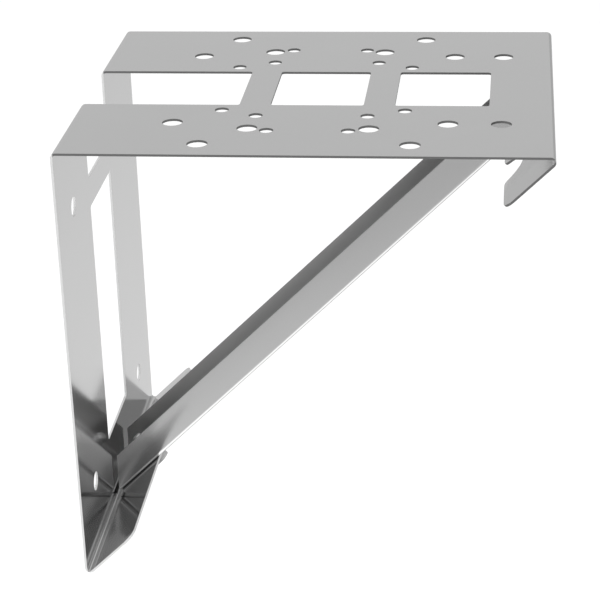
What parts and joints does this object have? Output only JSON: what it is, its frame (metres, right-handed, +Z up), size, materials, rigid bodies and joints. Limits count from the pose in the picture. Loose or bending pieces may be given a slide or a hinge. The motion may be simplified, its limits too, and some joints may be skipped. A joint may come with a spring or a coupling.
{
  "type": "wall bracket",
  "caption": "Wall bracket folded from one pierced steel sheet, with a shelf plate, a wall plate and a channel strut bolted across the corner.",
  "frame": {"origin": "centre of the four wall fixing holes, on the back face of the wall plate", "axes": "+X away from the wall along the shelf plate, +Y across the bracket, +Z up"},
  "size_m": [0.305, 0.255, 0.297],
  "materials": {
    "sheet_steel": "smooth bright stainless sheet",
    "strut_steel": "smooth bright stainless sheet",
    "bolt_steel": "plain stainless, turned and rolled",
    "washer_steel": "plain stainless, stamped",
    "nut_steel": "plain stainless, turned"
  },
  "bodies": {
    "root": {"folded_sheet": "sheet_steel", "channel_strut": "strut_steel", "strut_bolts": "bolt_steel", "strut_washers": "washer_steel", "strut_nuts": "nut_steel"}
  },
  "joints": []
}
